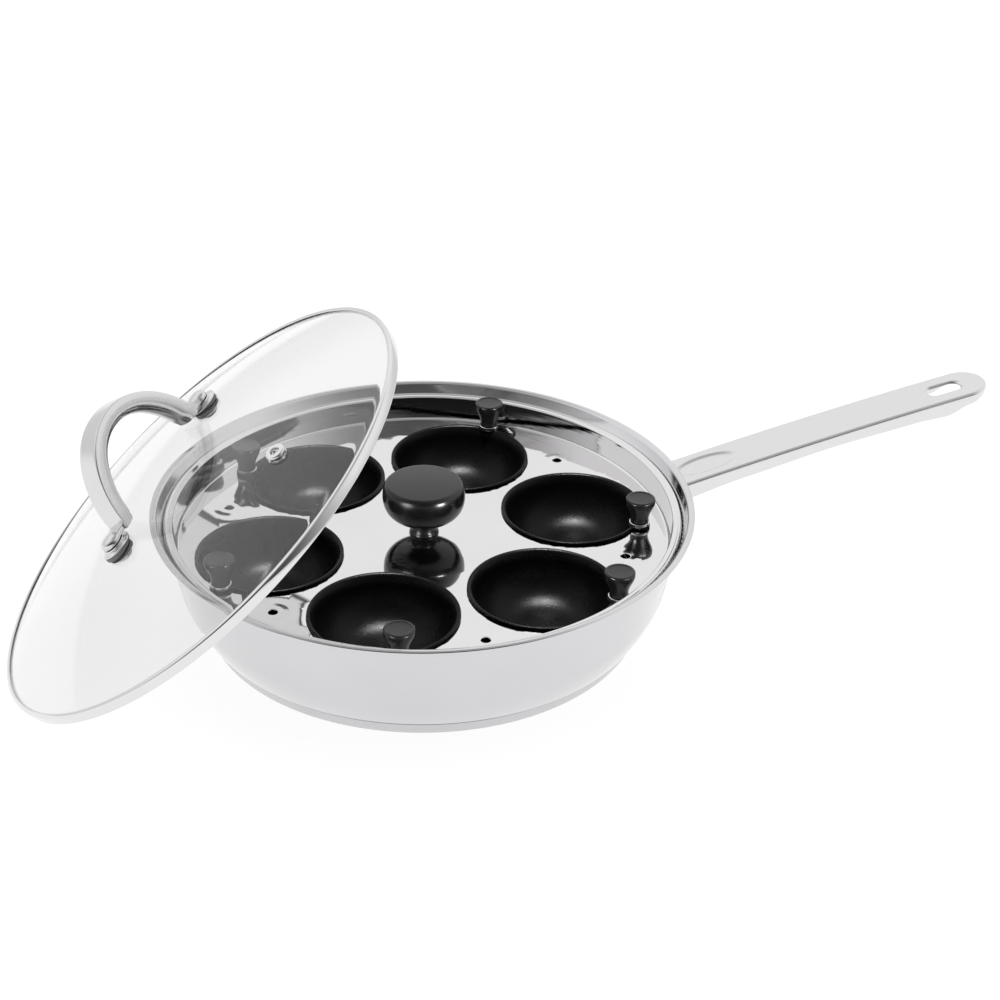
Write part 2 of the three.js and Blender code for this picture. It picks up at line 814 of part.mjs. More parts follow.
function makeCup(k) {
  const angle = (k * 2 * Math.PI) / cupCount;
  const cup = group(
    piece(`cup_bowl_${k + 1}`, cupBowl(), nonStick()),
    piece(`cup_stud_${k + 1}`, cupStud(), polishedSteel()),
    piece(`cup_knob_${k + 1}`, cupKnob(), blackKnob()),
  );
  cup.position.set(cupRing * Math.cos(angle), cupRing * Math.sin(angle), trayFloorZ);
  cup.rotation.z = angle + THREE.MathUtils.degToRad(cupTurns[k]);
  return cup;
}

// The lid leans away from the handle, its low edge on the table and its rim plane over the pan's lip
function makeLid() {
  const glassSpace = solid(turned(glassProfile(fit), largeSides));
  const footPieces = [0, Math.PI].map((turn, i) => {
    const foot = group(
      piece(`lid_gasket_${i + 1}`, surface(lidGasket(glassSpace)), silicone()),
      piece(`lid_foot_${i + 1}`, lidFoot(), polishedSteel()),
      piece(`lid_washer_${i + 1}`, surface(lidInnerWasher(glassSpace)), silicone()),
      piece(`lid_screw_${i + 1}`, lidScrew(), satinSteel()),
    );
    foot.rotation.z = turn;
    return foot;
  });
  const dressed = group(
    piece('lid_glass', lidGlass(), clearGlass()),
    piece('lid_band', lidBand(), polishedSteel()),
    piece('lid_handle', lidArch(), satinSteel()),
    piece('lid_eyelet', lidEyelet(), polishedSteel()),
    ...footPieces,
  );
  dressed.rotation.z = THREE.MathUtils.degToRad(lidSpin);

  const tilt = THREE.MathUtils.degToRad(lidTilt);
  const tilted = group(dressed);
  tilted.rotation.y = tilt;
  const lid = group(tilted);
  lid.rotation.z = THREE.MathUtils.degToRad(lidBearing);
  const centreZ = lidRadius * Math.sin(tilt) + (bandHeight / 2) * Math.cos(tilt) + tableGap;
  const lipCrest = panRadius - lipWidth * 0.6;
  const away = lipCrest + ((panHeight - centreZ) * Math.cos(tilt) + lidPlaneGap) / Math.sin(tilt);
  const [east, north] = [Math.cos(lid.rotation.z), Math.sin(lid.rotation.z)];
  lid.position.set(away * east - lidSideShift * north, away * north + lidSideShift * east, centreZ);
  return lid;
}

const eggPan = group(makePan(), makeTray(), makeLid());
for (let k = 0; k < cupCount; k += 1) eggPan.add(makeCup(k));

export default eggPan;
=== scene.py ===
# Egg pan with its cup tray and glass lid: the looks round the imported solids.
# Same frame as the solids, in metres: +Z up, +X along the long handle. Pieces are sized in mm.
import math

import bmesh
import bpy
from mathutils import Matrix, Vector
from mathutils.geometry import interpolate_bezier


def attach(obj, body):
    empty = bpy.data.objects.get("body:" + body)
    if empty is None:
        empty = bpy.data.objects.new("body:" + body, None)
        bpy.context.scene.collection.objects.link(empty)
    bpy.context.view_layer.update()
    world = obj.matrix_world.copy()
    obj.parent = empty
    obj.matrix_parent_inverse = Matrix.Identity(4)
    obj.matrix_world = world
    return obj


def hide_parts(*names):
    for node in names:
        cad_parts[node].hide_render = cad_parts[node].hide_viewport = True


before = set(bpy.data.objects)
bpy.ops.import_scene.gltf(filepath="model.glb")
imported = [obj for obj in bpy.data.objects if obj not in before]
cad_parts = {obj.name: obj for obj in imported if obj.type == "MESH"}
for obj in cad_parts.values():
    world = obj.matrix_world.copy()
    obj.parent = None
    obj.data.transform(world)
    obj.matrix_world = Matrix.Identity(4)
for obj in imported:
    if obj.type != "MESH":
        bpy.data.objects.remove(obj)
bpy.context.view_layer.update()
mm = 0.001
fullTurn = 2 * math.pi
samePoint = 1e-6  # m, points this close are merged
onPoint = 2e-6  # m, and this close they count as on a ring or a height


def linear(code):  # sRGB hex to the linear colour that a shader takes
    parts = [int(code[i:i + 2], 16) / 255 for i in (1, 3, 5)]
    return [p / 12.92 if p <= 0.04045 else ((p + 0.055) / 1.055) ** 2.4 for p in parts] + [1]


def ease(share):  # from 0 to 1, slow at both ends
    t = min(max(share, 0), 1)
    return t * t * (3 - 2 * t)


def addNode(owner, kind, inputs=None, **settings):  # one node, its settings and what feeds it
    tree = owner.node_tree
    node = tree.nodes.new("ShaderNode" + kind)
    for name, value in settings.items():
        setattr(node, name, value)
    for name, value in (inputs or {}).items():
        if isinstance(value, bpy.types.NodeSocket):
            tree.links.new(value, node.inputs[name])
        else:
            node.inputs[name].default_value = value
    return node


def startMaterial(name):
    material = bpy.data.materials.new(name)
    material.use_nodes = True
    material.node_tree.nodes.clear()
    return material, addNode(material, "TexCoord").outputs["Object"]


def finishMaterial(material, **inputs):
    named = {name.replace("_", " "): value for name, value in inputs.items()}
    shader = addNode(material, "BsdfPrincipled", named)
    addNode(material, "OutputMaterial", {"Surface": shader.outputs[0]})
    return material


# Camera at the photograph's angle. Its place and nearest distance are in metres.
camera = {
    "place": (-0.2568, -0.8957, 0.5991), "aim": (0.2742, 0.8234, -0.4968), "roll": 0.95,
    "focal": 74.687, "sensor": 36, "nearest": 0.01,
}

eye = bpy.data.objects.new("camera", bpy.data.cameras.new("camera"))
bpy.context.scene.collection.objects.link(eye)
eye.data.lens = camera["focal"]
eye.data.sensor_width = camera["sensor"]
eye.data.clip_start = camera["nearest"]
aimTurn = Vector(camera["aim"]).to_track_quat("-Z", "Y").to_matrix().to_4x4()
rollTurn = Matrix.Rotation(math.radians(camera["roll"]), 4, "Z")
eye.matrix_world = Matrix.Translation(camera["place"]) @ aimTurn @ rollTurn
bpy.context.scene.camera = eye
print("camera set")

# The lid is built flat, X along its arch and Z up through its dome, and then leant beside the pan
lidLean = {"centre": (-119.116, -8.515, 86.205), "bearing": 169.49, "tilt": 40.39, "spin": 232.2}
lidTurn = (
    Matrix.Rotation(math.radians(lidLean["bearing"]), 4, "Z")
    @ Matrix.Rotation(math.radians(lidLean["tilt"]), 4, "Y")
    @ Matrix.Rotation(math.radians(lidLean["spin"]), 4, "Z")
)
lidPlace = Matrix.Translation(Vector(lidLean["centre"]) * mm) @ lidTurn

noiseSpan = {"From Min": 0.3, "From Max": 0.7}  # where nearly all values of a noise lie
pairSpan = {"From Min": 0.75, "From Max": 1.25}  # and those of two noises added up


# Stainless 18/10 sheet. Polished by wheel: a mirror with faint lines and cloudy smears.
# lines gives the size of the polishing marks along X, Y and Z in mm, drawn coarser than the
# real 0.1 mm so that they show.
def makeSteel(name, look):
    markDepth = 0.05  # mm
    material, place = startMaterial(name)
    along = addNode(
        material, "Mapping",
        {"Vector": place, "Rotation": look.get("turn", (0, 0, 0)),
         "Scale": [size * mm for size in look["lines"]]},
        vector_type="TEXTURE",
    )
    lines = addNode(material, "TexNoise", {"Vector": along.outputs[0], "Scale": 1, "Detail": 3})
    smears = addNode(
        material, "TexNoise", {"Vector": place, "Scale": 1 / (look["smear"] * mm), "Detail": 2}
    )
    tone = addNode(
        material, "Mix",
        {0: smears.outputs["Fac"], 6: linear(look["dark"]), 7: linear(look["light"])},
        data_type="RGBA",
    )
    marks = addNode(
        material, "Math", {0: lines.outputs["Fac"], 1: smears.outputs["Fac"]}, operation="ADD"
    )
    gloss = addNode(
        material, "MapRange",
        {"Value": marks.outputs[0], **pairSpan,
         "To Min": look["gloss"][0], "To Max": look["gloss"][1]},
    )
    relief = addNode(
        material, "Bump",
        {"Strength": look["relief"], "Distance": markDepth * mm, "Height": lines.outputs["Fac"]},
    )
    return finishMaterial(
        material, Base_Color=tone.outputs[2], Metallic=1, Roughness=gloss.outputs[0],
        Normal=relief.outputs[0],
    )


mirrorSteel = makeSteel("mirrorPolishedStainless", {
    "dark": "#dcdbdc", "light": "#e5e4e5", "gloss": (0.03, 0.07),
    "lines": (30, 30, 0.8), "smear": 45, "relief": 0.02,
})
traySteel = makeSteel("polishedStainlessTray", {  # its upstand keeps marks of the pressing
    "dark": "#dcdbdc", "light": "#e5e4e5", "gloss": (0.03, 0.07),
    "lines": (40, 40, 1.2), "smear": 45, "relief": 0.7,
})
wallSteel = makeSteel("spunStainlessWall", {  # lines run round the pan, as the polishing wheel did
    "dark": "#d0cfd1", "light": "#d9d8da", "gloss": (0.07, 0.14),
    "lines": (60, 60, 0.7), "smear": 60, "relief": 0.06,
})
baseSteel = makeSteel("satinStainlessBase", {
    "dark": "#c9c8ca", "light": "#d2d1d3", "gloss": (0.24, 0.34),
    "lines": (60, 60, 0.6), "smear": 50, "relief": 0.1,
})
handleSteel = makeSteel("brushedStainlessHandle", {  # brushed lengthwise
    "dark": "#dededf", "light": "#e6e6e6", "gloss": (0.3, 0.38),
    "lines": (45, 0.9, 0.9), "smear": 40, "relief": 0.03,
})
archSteel = makeSteel("brushedStainlessArch", {
    "dark": "#d4d4d4", "light": "#dddddd", "gloss": (0.14, 0.21),
    "lines": (25, 0.8, 25), "smear": 20, "relief": 0.04, "turn": lidTurn.to_euler(),
})

# Plain aluminium heat disc and turned brass insert, both closed in
coreMetal = makeSteel("plainAluminium", {
    "dark": "#b4b7bb", "light": "#bec1c5", "gloss": (0.4, 0.5),
    "lines": (3, 3, 3), "smear": 30, "relief": 0.1,
})
insertMetal = makeSteel("turnedBrass", {
    "dark": "#b9994f", "light": "#c7a960", "gloss": (0.3, 0.4),
    "lines": (8, 8, 0.5), "smear": 10, "relief": 0.1,
})


# Sprayed non-stick on pressed sheet: near black, a fine pebbled skin that breaks highlights into
# specks. The grain is drawn at about 1 mm, coarser than the real 0.2 mm, so that it shows.
def makeCoating():
    look = {
        "deep": "#030303", "raised": "#0a0a0a", "gloss": (0.24, 0.32),
        "grain": 1.0, "cloud": 9, "relief": 0.9, "depth": 0.12,
    }
    material, place = startMaterial("sprayedNonStick")
    grain = addNode(
        material, "TexNoise",
        {"Vector": place, "Scale": 1 / (look["grain"] * mm), "Detail": 4, "Roughness": 0.7},
    )
    cloud = addNode(
        material, "TexNoise", {"Vector": place, "Scale": 1 / (look["cloud"] * mm), "Detail": 2}
    )
    tone = addNode(
        material, "Mix",
        {0: grain.outputs["Fac"], 6: linear(look["deep"]), 7: linear(look["raised"])},
        data_type="RGBA",
    )
    gloss = addNode(
        material, "MapRange",
        {"Value": cloud.outputs["Fac"], **noiseSpan,
         "To Min": look["gloss"][0], "To Max": look["gloss"][1]},
    )
    relief = addNode(
        material, "Bump",
        {"Strength": look["relief"], "Distance": look["depth"] * mm,
         "Height": grain.outputs["Fac"]},
    )
    return finishMaterial(
        material, Base_Color=tone.outputs[2], Roughness=gloss.outputs[0],
        Normal=relief.outputs[0], IOR=1.35, Specular_IOR_Level=0.18,
    )


# Compression-moulded phenolic: black and glossy, with the faint flow clouding of the moulding
def makePhenolic(name, look):
    skinSize, skinDepth = 0.8, 0.03  # mm
    material, place = startMaterial(name)
    flow = addNode(
        material, "TexNoise", {"Vector": place, "Scale": 1 / (look["flow"] * mm), "Detail": 3}
    )
    skin = addNode(
        material, "TexNoise", {"Vector": place, "Scale": 1 / (skinSize * mm), "Detail": 2}
    )
    tone = addNode(
        material, "Mix",
        {0: flow.outputs["Fac"], 6: linear(look["dark"]), 7: linear(look["light"])},
        data_type="RGBA",
    )
    gloss = addNode(
        material, "MapRange",
        {"Value": flow.outputs["Fac"], **noiseSpan,
         "To Min": look["gloss"][0], "To Max": look["gloss"][1]},
    )
    relief = addNode(
        material, "Bump",
        {"Strength": look["relief"], "Distance": skinDepth * mm, "Height": skin.outputs["Fac"]},
    )
    return finishMaterial(
        material, Base_Color=tone.outputs[2], Roughness=gloss.outputs[0],
        Normal=relief.outputs[0], IOR=1.5,
    )


# Tempered soda-lime glass: clear and smooth, a little grey through its thickness
def makeGlass():
    look = {"clear": "#efefef", "cast": "#ebebeb", "ripple": 70}
    material, place = startMaterial("temperedGlass")
    ripple = addNode(
        material, "TexNoise", {"Vector": place, "Scale": 1 / (look["ripple"] * mm), "Detail": 1}
    )
    tone = addNode(
        material, "Mix",
        {0: ripple.outputs["Fac"], 6: linear(look["clear"]), 7: linear(look["cast"])},
        data_type="RGBA",
    )
    return finishMaterial(
        material, Base_Color=tone.outputs[2], Roughness=0.0, IOR=1.52, Transmission_Weight=1.0
    )


# Moulded silicone: grey, matt, slightly dusty
def makeSilicone():
    look = {"dark": "#8a8a8a", "light": "#999999", "gloss": (0.5, 0.65), "dust": 1.5}
    material, place = startMaterial("mouldedSilicone")
    dust = addNode(
        material, "TexNoise", {"Vector": place, "Scale": 1 / (look["dust"] * mm), "Detail": 3}
    )
    tone = addNode(
        material, "Mix",
        {0: dust.outputs["Fac"], 6: linear(look["dark"]), 7: linear(look["light"])},
        data_type="RGBA",
    )
    gloss = addNode(
        material, "MapRange",
        {"Value": dust.outputs["Fac"], **noiseSpan,
         "To Min": look["gloss"][0], "To Max": look["gloss"][1]},
    )
    return finishMaterial(
        material, Base_Color=tone.outputs[2], Roughness=gloss.outputs[0], IOR=1.41
    )


nonStick = makeCoating()
trayKnobPhenolic = makePhenolic("glossPhenolicTrayKnob", {
    "dark": "#080808", "light": "#0d0c0d", "gloss": (0.18, 0.24), "flow": 12, "relief": 0.05,
})
cupKnobPhenolic = makePhenolic("glossPhenolicCupKnob", {
    "dark": "#0b0b0b", "light": "#121212", "gloss": (0.2, 0.28), "flow": 6, "relief": 0.12,
})
glass = makeGlass()
silicone = makeSilicone()
blackCups = bpy.data.collections.new("blackCups")  # what each softbox shines on
blackKnobs = bpy.data.collections.new("blackKnobs")
print("materials:", len(bpy.data.materials))


def bend(start, corner, end, points):  # a profile's bend from one point to another by a corner
    a, c, b = Vector(start), Vector(corner), Vector(end)
    curve = interpolate_bezier(a, a.lerp(c, 2 / 3), b.lerp(c, 2 / 3), b, points)
    return [tuple(p) for p in curve]


def sweep(start, pullStart, pullEnd, end, points):  # the same with a pull at each end
    pulls = [Vector(p) for p in (start, pullStart, pullEnd, end)]
    return [tuple(p) for p in interpolate_bezier(*pulls, points)]


def ringPlace(radius, angle, height):  # a place round the pan's axis
    return Matrix.Translation((
        math.cos(angle) * radius * mm, math.sin(angle) * radius * mm, height * mm
    ))


# Turns a profile about Z. Its corners are (radius, height) or (radius, height, rounding), in mm.
def turned(corners, sides, closed=False, segments=4):
    bm = bmesh.new()
    line = [bm.verts.new((c[0] * mm, 0, c[1] * mm)) for c in corners]
    pairs = list(zip(line, line[1:])) + ([(line[-1], line[0])] if closed else [])
    edges = [bm.edges.new(pair) for pair in pairs]
    bmesh.ops.spin(
        bm, geom=line + edges, axis=(0, 0, 1), cent=(0, 0, 0), angle=fullTurn, steps=sides,
        use_merge=True,
    )
    bmesh.ops.remove_doubles(bm, verts=bm.verts, dist=samePoint)
    for radius, height, rounding in [c for c in corners if len(c) == 3]:
        edge = [e for e in bm.edges if all(onRing(v, radius, height) for v in e.verts)]
        bmesh.ops.bevel(
            bm, geom=edge, offset=rounding * mm, offset_type="OFFSET", segments=segments,
            profile=0.5, affect="EDGES", clamp_overlap=True, material=-1,
        )
    bmesh.ops.recalc_face_normals(bm, faces=bm.faces)
    return bm


def onRing(vert, radius, height):
    return abs(vert.co.xy.length - radius * mm) < onPoint and abs(vert.co.z - height * mm) < onPoint


def screwShape(s):  # a round-headed screw, head down
    crownRound, headRound, endRound = s["rounds"]
    return turned([
        (0, s["low"]),
        (s["crown"], s["low"], crownRound),
        (s["head"], s["rim"], headRound),
        (s["head"], s["under"]),
        (s["shank"], s["under"]),
        (s["shank"], s["end"], endRound),
        (0, s["end"]),
    ], s["sides"])


def addShape(bm, other, place):  # puts one bmesh into another
    other.transform(place)
    mesh = bpy.data.meshes.new("shape")
    other.to_mesh(mesh)
    other.free()
    bm.from_mesh(mesh)
    bpy.data.meshes.remove(mesh)


def carve(bm, tool, operation):  # joins or cuts two closed shapes
    blanks = []
    for shape in (bm, tool):
        mesh = bpy.data.meshes.new("blank")
        shape.to_mesh(mesh)
        shape.free()
        blanks.append(bpy.data.objects.new("blank", mesh))
        bpy.context.scene.collection.objects.link(blanks[-1])
    modifier = blanks[0].modifiers.new("carve", "BOOLEAN")
    modifier.object = blanks[1]
    modifier.operation = operation
    modifier.solver = "EXACT"
    result = bmesh.new()
    result.from_object(blanks[0], bpy.context.evaluated_depsgraph_get())
    for blank in blanks:
        mesh = blank.data
        bpy.data.objects.remove(blank)
        bpy.data.meshes.remove(mesh)
    return result


def faceUp(bm, face):  # an open sheet's faces all point the way that this one should, up
    if face.normal.z < 0:
        bmesh.ops.reverse_faces(bm, faces=bm.faces)


def makePiece(name, bm, material, body, nodes, crease=40):
    mesh = bpy.data.meshes.new(name)
    bm.to_mesh(mesh)
    bm.free()
    mesh.materials.append(material)
    mesh.shade_smooth()
    mesh.set_sharp_from_angle(angle=math.radians(crease))
    piece = bpy.data.objects.new(name, mesh)
    bpy.context.scene.collection.objects.link(piece)
    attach(piece, body)
    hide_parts(*nodes)
    if material == nonStick:
        blackCups.objects.link(piece)
    if material in (trayKnobPhenolic, cupKnobPhenolic):
        blackKnobs.objects.link(piece)
    return piece


def addModifier(piece, kind, **settings):
    modifier = piece.modifiers.new(kind.lower(), kind)
    for name, value in settings.items():
        setattr(modifier, name, value)


def thicken(piece, sheet):
    addModifier(piece, "SOLIDIFY", thickness=sheet * mm, offset=-1, use_even_offset=True)


# Pan: spun wall with a rounded foot, a belly, a lip with a rounded bead and a ledge for the tray.
# Its flat floor stops short of the base cap's edge, which leaves a dark seam.
pan = {
    "sides": 192, "sheet": 1.2, "floor": 7.3, "seam": 113.5, "seamTop": (116.6, 8),
    "foot": (117.8, 8.3), "footPull": (124.2, 17.5), "belly": (127, 27), "footPoints": 14,
    "neck": (133.2, 57.4), "neckPull": (134.6, 62.2), "lipUnder": (139.4, 63.5), "neckPoints": 12,
    "height": 65, "lip": 140, "beadOut": 1.5, "beadDrop": 1.1, "beadPoints": 6,
    "lipInner": 136.7, "beadIn": 1.4, "throat": 0.8, "throatDrop": 2.2,
    "ledge": 58.4, "ledgeOuter": 133.3, "ledgeInner": 132, "ledgeThick": 1,
    "ledgeRise": 0.8, "ledgeStep": 0.2, "footInside": (116.2, 9.3), "floorEdge": 114.8,
}


def makePan():
    p = pan
    sheet, lip, lipInner, top = p["sheet"], p["lip"], p["lipInner"], p["height"]
    bellyIn = (p["belly"][0] - sheet, p["belly"][1])
    pullIn = (p["footPull"][0] - sheet, p["footPull"][1])
    throat = (lipInner - p["throat"], top - p["throatDrop"])
    bm = turned([
        (0, p["floor"]),
        (p["seam"], p["floor"]),
        p["seamTop"],
        *bend(p["foot"], p["footPull"], p["belly"], p["footPoints"]),
        *bend(p["neck"], p["neckPull"], p["lipUnder"], p["neckPoints"]),
        *bend((lip, top - p["beadDrop"]), (lip, top), (lip - p["beadOut"], top), p["beadPoints"]),
        *bend((lipInner + p["beadIn"], top), (lipInner, top), throat, p["beadPoints"]),
        (p["ledgeOuter"] + p["ledgeStep"], p["ledge"] + p["ledgeRise"], 0.5),
        (p["ledgeOuter"], p["ledge"]),
        (p["ledgeInner"], p["ledge"], 0.3),
        (p["ledgeInner"], p["ledge"] - p["ledgeThick"]),
        *bend(bellyIn, pullIn, p["footInside"], p["footPoints"]),
        (p["floorEdge"], p["floor"] + sheet),
        (0, p["floor"] + sheet),
    ], p["sides"])
    makePiece("panWall", bm, wallSteel, "pan", ["pan_body"])


base = {"sides": 192, "radius": 113.7, "top": 116.4, "rim": 7.0, "sheet": 0.8}


def makeBase():
    b = base
    bm = turned([
        (0, 0),
        (b["radius"], 0, 0.8),
        (b["top"], b["rim"], 0.25),
        (b["top"] - b["sheet"], b["rim"], 0.25),
        (b["radius"] - b["sheet"], b["sheet"], 0.5),
        (0, b["sheet"]),
    ], b["sides"])
    makePiece("baseCap", bm, baseSteel, "pan", ["base_cap"])


makePan()
makeBase()
print("pan made")

# Long handle: a pressed channel, open below, with a rounded tip, a hang slot and a thumb dimple.
# Its grid runs along by shares: to the slot, round the slot's near end, along its side, round the
# tip. It runs across by shares too: over the flat top, round the edge, down the side.
handle = {
    "root": 133, "tip": 322, "half": 13.5, "edge": 1.6, "edgeLimit": 0.55, "sheet": 1.6,
    "rise": 57.6, "slopeRoot": 11.9, "slopeTip": 8.5, "burr": 0.3, "wallGap": 0.3,
    "depths": [(0, 10.5), (0.25, 8), (0.5, 7), (0.75, 8), (0.86, 9.4), (0.93, 6), (1, 2.6)],
    "depthsFrom": 129.2,
    "slot": 298, "slotHalf": 10, "slotRadius": 4.5, "slotLip": 1.4,
    "dimple": 157.5, "dimpleHalf": (18, 8), "dimpleDepth": 0.8, "dimpleSlope": 0.2,
    "along": 210, "across": 34,
    "toSlot": 0.72, "toSide": 0.8, "toTip": 0.86, "toEdge": 0.55, "toFlank": 0.8,
    "onTop": (220, 0, 75),
}


def handleTop(x):  # height of the handle's top
    h = handle
    run, length = x - pan["neck"][0], h["tip"] - pan["neck"][0]
    rootSlope, tipSlope = [math.tan(math.radians(h[k])) for k in ("slopeRoot", "slopeTip")]
    return h["rise"] + rootSlope * run + (tipSlope - rootSlope) * run ** 2 / (2 * length)


def handleDepth(x):  # depth of the channel's sides, eased between the listed shares of its length
    h = handle
    share = min(max((x - h["depthsFrom"]) / (h["tip"] - h["depthsFrom"]), 0), 1)
    for (share0, depth0), (share1, depth1) in zip(h["depths"], h["depths"][1:]):
        if share <= share1:
            return depth0 + (depth1 - depth0) * ease((share - share0) / (share1 - share0))
    return h["depths"][-1][1]


def wallAt(y, z):  # where the pan's wall stands, at a place across and a height
    (lowR, lowZ), (highR, highZ) = pan["belly"], pan["neck"]
    radius = lowR + (highR - lowR) * (z - lowZ) / (highZ - lowZ) + handle["wallGap"]
    return math.sqrt(radius ** 2 - y ** 2)


def handleOutline(s):  # the middle line or the slot's edge, the outer edge, and the way between
    h = handle
    r = h["slotRadius"]
    slotNear, slotFar = h["slot"] - h["slotHalf"], h["slot"] + h["slotHalf"]
    tipCentre = h["tip"] - h["half"]
    if s < h["toSlot"]:
        x = h["root"] + (slotNear - h["root"]) * s / h["toSlot"]
        return (x, 0), (x, h["half"]), (0, 1)
    if s < h["toSide"]:
        t = (s - h["toSlot"]) / (h["toSide"] - h["toSlot"])
        a = t * math.pi / 2
        inner = (slotNear + r - r * math.cos(a), r * math.sin(a))
        return inner, (slotNear + r * t, h["half"]), (0, 1)
    if s < h["toTip"]:
        t = (s - h["toSide"]) / (h["toTip"] - h["toSide"])
        inner = (slotNear + r + (slotFar - slotNear - 2 * r) * t, r)
        return inner, (slotNear + r + (tipCentre - slotNear - r) * t, h["half"]), (0, 1)
    a = (s - h["toTip"]) / (1 - h["toTip"]) * math.pi / 2
    inner = (slotFar - r + r * math.sin(a), r * math.cos(a))
    outer = (tipCentre + h["half"] * math.sin(a), h["half"] * math.cos(a))
    return inner, outer, (math.sin(a), math.cos(a))


def handlePoint(s, v):  # s from root to tip, v from the middle line over the edge and down the side
    h = handle
    inner, outer, inward = handleOutline(s)
    depth = handleDepth(outer[0])
    edge = min(h["edge"], depth * h["edgeLimit"])
    drop = 0
    if v < h["toEdge"]:
        t = v / h["toEdge"]
        x, y = [i + (o - n * edge - i) * t for i, o, n in zip(inner, outer, inward)]
        fromSlot = math.dist((x, y), inner)
        lip = h["slotLip"]
        if s > h["toSlot"] and fromSlot < lip:
            drop = lip - math.sqrt(lip ** 2 - (lip - fromSlot) ** 2)
    elif v < h["toFlank"]:
        a = (v - h["toEdge"]) / (h["toFlank"] - h["toEdge"]) * math.pi / 2
        x, y = [o - n * edge * (1 - math.sin(a)) for o, n in zip(outer, inward)]
        drop = edge * (1 - math.cos(a))
    else:
        x, y = outer
        drop = edge + (depth - edge) * (v - h["toFlank"]) / (1 - h["toFlank"])
    halfLong, halfWide = h["dimpleHalf"]
    reach = math.hypot((x - h["dimple"]) / halfLong, y / halfWide)
    z = handleTop(x) - drop - h["dimpleDepth"] * ease((1 - reach) / h["dimpleSlope"])
    start = wallAt(y, handleTop(h["root"]) - drop)
    share = (h["tip"] - x) / (h["tip"] - h["root"])
    return Vector((x + (start - h["root"]) * share ** 3, y, z)) * mm


def makeHandle():
    h = handle
    bm = bmesh.new()
    bmesh.ops.create_grid(bm, x_segments=h["along"], y_segments=h["across"], size=0.5)
    for vert in bm.verts:
        vert.co = handlePoint(vert.co.x + 0.5, vert.co.y + 0.5)
    bmesh.ops.mirror(
        bm, geom=bm.verts[:] + bm.edges[:] + bm.faces[:], matrix=Matrix(), merge_dist=samePoint,
        axis="Y",
    )
    bmesh.ops.remove_doubles(bm, verts=bm.verts, dist=samePoint)
    bmesh.ops.recalc_face_normals(bm, faces=bm.faces)
    onTop = Vector(h["onTop"]) * mm
    faceUp(bm, min(bm.faces, key=lambda f: (f.calc_center_median() - onTop).length))
    piece = makePiece(
        "panHandle", bm, handleSteel, "pan", ["pan_handle"], crease=60
    )
    thicken(piece, h["sheet"])
    addModifier(
        piece, "BEVEL", width=h["burr"] * mm, segments=2, limit_method="ANGLE",
        angle_limit=math.radians(60),
    )


bracket = {"half": 10.7, "top": 55.3, "height": 6, "sheet": 2, "end": 147.2, "fold": 0.5}


def makeBracket():  # folded strip under the handle's root
    b = bracket
    low = b["top"] - b["height"]
    bm = bmesh.new()
    line = [bm.verts.new((wallAt(y, z) * mm, y * mm, z * mm)) for y, z in (
        (-b["half"], low), (-b["half"], b["top"]), (b["half"], b["top"]), (b["half"], low),
    )]
    edges = [bm.edges.new(pair) for pair in zip(line, line[1:])]
    made = bmesh.ops.extrude_edge_only(bm, edges=edges)
    for vert in [g for g in made["geom"] if isinstance(g, bmesh.types.BMVert)]:
        vert.co.x = b["end"] * mm
    bmesh.ops.recalc_face_normals(bm, faces=bm.faces)
    faceUp(bm, max(bm.faces, key=lambda f: f.calc_center_median().z))
    piece = makePiece(
        "handleBracket", bm, handleSteel, "pan", ["handle_bracket"]
    )
    thicken(piece, b["sheet"])
    addModifier(
        piece, "BEVEL", width=b["fold"] * mm, segments=3, limit_method="ANGLE",
        angle_limit=math.radians(40),
    )


makeHandle()
makeBracket()
print("handle made")

# Tray: a pressed dish with six cup holes, six low vents and a flange that sits on the pan's ledge
tray = {
    "sides": 192, "floor": 46.5, "sheet": 0.8, "flangeTop": 59.5, "flange": 133.0,
    "beadLean": 0.2, "beadRise": 1.5, "beadWidth": 1.8, "beadPoints": 8,
    "upstandTop": 128.9, "upstandFoot": 127.6, "floorRing": 125.4,
    "cupRing": 82, "cupHole": 36.3, "cupSides": 96, "cups": 6, "screwHole": 2.8, "screwSides": 24,
    "ventRing": 106.5, "ventSides": 32, "ventSkirt": 11, "ventBoss": 9.5, "ventTop": 4.4,
    "ventHole": 2.4, "ventRise": 0.15, "ventRound": 1.4,
}


